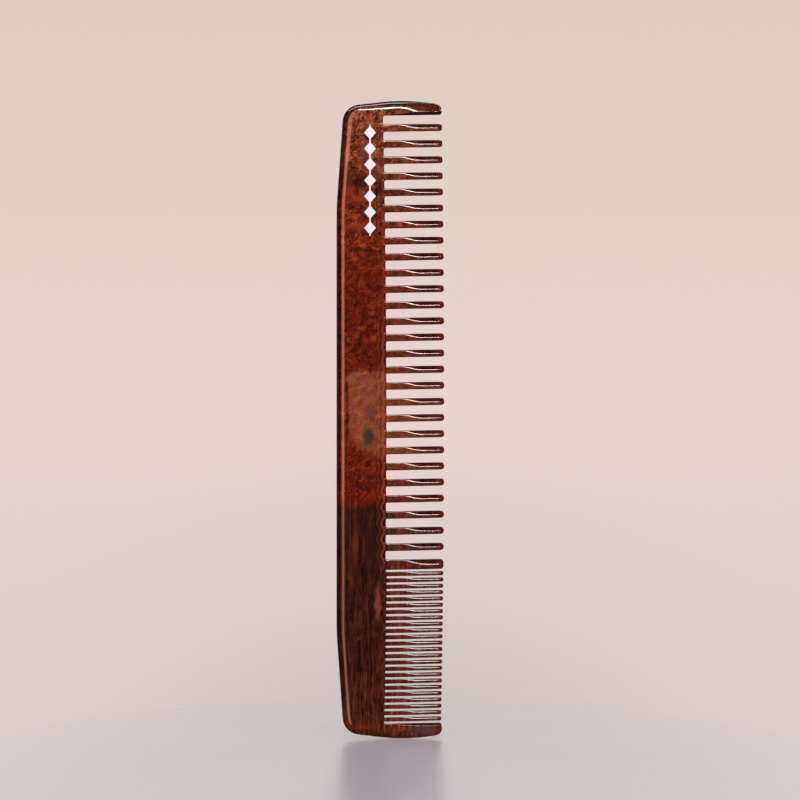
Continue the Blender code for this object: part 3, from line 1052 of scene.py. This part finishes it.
def make_camera():
    """A long lens square to the comb's front, as the photo was taken."""
    data = bpy.data.cameras.new("camera")
    camera = bpy.data.objects.new("camera", data)
    bpy.context.scene.collection.objects.link(camera)
    data.sensor_width = SENSOR_WIDTH
    data.lens = SENSOR_WIDTH * CAMERA_DISTANCE / FRAME_WIDTH
    camera.location = (FRAME_CENTRE[0], -CAMERA_DISTANCE, FRAME_CENTRE[1])
    camera.rotation_euler = (math.pi / 2, 0, 0)
    bpy.context.scene.camera = camera


# The studio's pale colour by how far the line of sight rises
STUDIO = [
    (-0.095, (218, 206, 205)),
    (-0.05, (225, 209, 203)),
    (0.0, (231, 212, 205)),
    (0.04, (228, 210, 201)),
    (0.095, (221, 201, 190)),
]
# A soft shade low behind the comb: its direction, its size, where it fades in, and the light that it leaves
SHADE_CENTRE = (0.0, 0.97, -0.115)
SHADE_SIZE = (0.075, 1.0, 0.070)
SHADE_FADE = (1.6, 0.1)
SHADE = (0.81, 0.82, 0.85)
# The light that the studio gives, how dim it is in reflections, and how bright there straight behind the comb
STUDIO_LIGHT = (228, 215, 208)
STUDIO_IN_GLOSS = 0.03
STUDIO_BEHIND = 1.2
BEHIND_FADE = (0.85, 0.97)


def make_world():
    """A pale studio all round. In reflections it is dim, so that the lights alone draw the highlights."""
    world = bpy.data.worlds.new("pale_studio")
    bpy.context.scene.world = world
    world.use_nodes = True
    graph = Graph(world.node_tree)
    background = world.node_tree.nodes["Background"]
    ray = graph.add("ShaderNodeLightPath")
    direction = graph.add("ShaderNodeTexCoord").outputs["Generated"]
    _, ahead, rise = graph.split(direction)

    lowest = STUDIO[0][0]
    span = STUDIO[-1][0] - lowest
    share = graph.math("DIVIDE", graph.minus(rise, lowest), span, clamp=True)
    seen = graph.ramp(share, [((level - lowest) / span, screen_colour(*colour)) for level, colour in STUDIO])
    offset = graph.vector("DIVIDE", graph.vector("SUBTRACT", direction, SHADE_CENTRE), SHADE_SIZE)
    shaded = graph.range(graph.vector("LENGTH", offset), *SHADE_FADE)
    seen = graph.tint(seen, graph.mix(shaded, WHITE, SHADE))

    soft = screen_colour(*STUDIO_LIGHT)
    dim = tuple(STUDIO_IN_GLOSS * value for value in soft)
    bright = tuple(STUDIO_BEHIND * value for value in soft)
    in_gloss = graph.mix(graph.range(ahead, *BEHIND_FADE), dim, bright)
    other = graph.mix(ray.outputs["Is Glossy Ray"], soft, in_gloss)
    graph.feed(background.inputs["Color"], graph.mix(ray.outputs["Is Camera Ray"], other, seen))


FLOOR_COLOUR = (188, 185, 203)
FLOOR_RADIUS = 0.7
FLOOR_SIDES = 96
FLOOR_ROUGHNESS = 0.30
FLOOR_SPECULAR = 0.25
# The floor clears outward from an oval a little in front of its middle
CLEAR_OFFSET = (0.0, 0.12, 0.0)
CLEAR_STRETCH = (2.4, 1.2, 1.0)
CLEAR_FADE = (0.05, 0.50)
CLEAR_LEAST = 0.12


def make_floor():
    """A pale, softly glossy floor that fades into the studio round the comb."""
    bpy.ops.mesh.primitive_circle_add(vertices=FLOOR_SIDES, radius=FLOOR_RADIUS, fill_type="NGON")
    floor = bpy.context.object
    floor.name = "floor"
    floor.visible_glossy = False
    made, graph, shader = new_material("pale_floor")
    place = graph.add("ShaderNodeTexCoord").outputs["Object"]
    place = graph.vector("MULTIPLY", graph.vector("ADD", place, CLEAR_OFFSET), CLEAR_STRETCH)
    graph.feed(shader.inputs["Base Color"], screen_colour(*FLOOR_COLOUR))
    shader.inputs["Roughness"].default_value = FLOOR_ROUGHNESS
    shader.inputs["Specular IOR Level"].default_value = FLOOR_SPECULAR
    blend = graph.add("ShaderNodeMixShader")
    graph.feed(blend.inputs[0], graph.range(graph.vector("LENGTH", place), *CLEAR_FADE, CLEAR_LEAST, 1.0))
    graph.feed(blend.inputs[1], shader.outputs[0])
    graph.feed(blend.inputs[2], graph.add("ShaderNodeBsdfTransparent").outputs[0])
    graph.feed(made.node_tree.nodes["Material Output"].inputs["Surface"], blend.outputs[0])
    floor.data.materials.append(made)
    return floor


# A softbox faces the comb's middle. Azimuth 0 is in front of the comb and 90 is beside its tips. Brightness 1
# shows as white in a mirror.
Softbox = namedtuple("Softbox", "azimuth elevation distance size brightness colour shape",
                     defaults=(WHITE, "RECTANGLE"))
HIGHLIGHTS = {
    "key": Softbox(8, 25, 0.9, (0.34, 0.20), 38),
    "left_panel": Softbox(-22, 3, 0.95, (0.56, 0.95), 5.4, (1.0, 0.45, 0.28), "ELLIPSE"),
    "overhead": Softbox(0, 86, 0.9, (1.8, 0.12), 16),
    "rear_key": Softbox(140, 16, 0.9, (0.36, 0.36), 7),
}
FILL = Softbox(12, 30, 1.6, (1.2, 1.2), 1.6)
CARD = Softbox(0, 0, 2.0, (2.3, 1.6), 0.4, screen_colour(*STUDIO_LIGHT))
CARD_COUNT = 6


def add_light(name, box):
    """A light from a softbox's settings, out of the camera's sight."""
    turn, rise = math.radians(box.azimuth), math.radians(box.elevation)
    toward = Vector((math.sin(turn) * math.cos(rise), -math.cos(turn) * math.cos(rise), math.sin(rise)))
    data = bpy.data.lights.new(name, "AREA")
    data.shape = box.shape
    data.size, data.size_y = box.size
    data.energy = box.brightness * math.pi * box.size[0] * box.size[1]
    data.color = box.colour
    light = bpy.data.objects.new(name, data)
    bpy.context.scene.collection.objects.link(light)
    light.location = Vector((0, 0, LENGTH / 2)) + box.distance * toward
    light.rotation_euler = toward.to_track_quat("Z", "Y").to_euler()
    light.visible_camera = False
    return light


def collect(name, things):
    made = bpy.data.collections.new(name)
    for thing in things:
        made.objects.link(thing)
    return made


def add_reflection(name, box, receivers):
    """A light that shows only as a reflection, and only on its receivers."""
    light = add_light(name, box)
    light.visible_diffuse = False
    light.light_linking.receiver_collection = receivers


def make_lights(comb_parts, floor):
    """Highlights that only the comb shows, one soft fill, and cards all round that only the floor shows."""
    comb_only = collect("comb_only", comb_parts)
    for name, box in HIGHLIGHTS.items():
        add_reflection(name, box, comb_only)
    fill = add_light("fill", FILL)
    fill.visible_glossy = False
    floor_only = collect("floor_only", [floor])
    for number in range(CARD_COUNT):
        add_reflection(f"card_{number + 1}", CARD._replace(azimuth=360 * number / CARD_COUNT), floor_only)


def main():
    comb, names = make_comb()
    comb.data.materials.append(make_acetate())
    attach(comb, "root")
    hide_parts("back", *names)
    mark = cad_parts["printed_mark"]
    mark.data.materials.clear()
    mark.data.materials.append(make_ink())
    bpy.context.scene.view_settings.view_transform = "Standard"
    make_world()
    make_lights([comb, mark], make_floor())
    make_camera()


main()
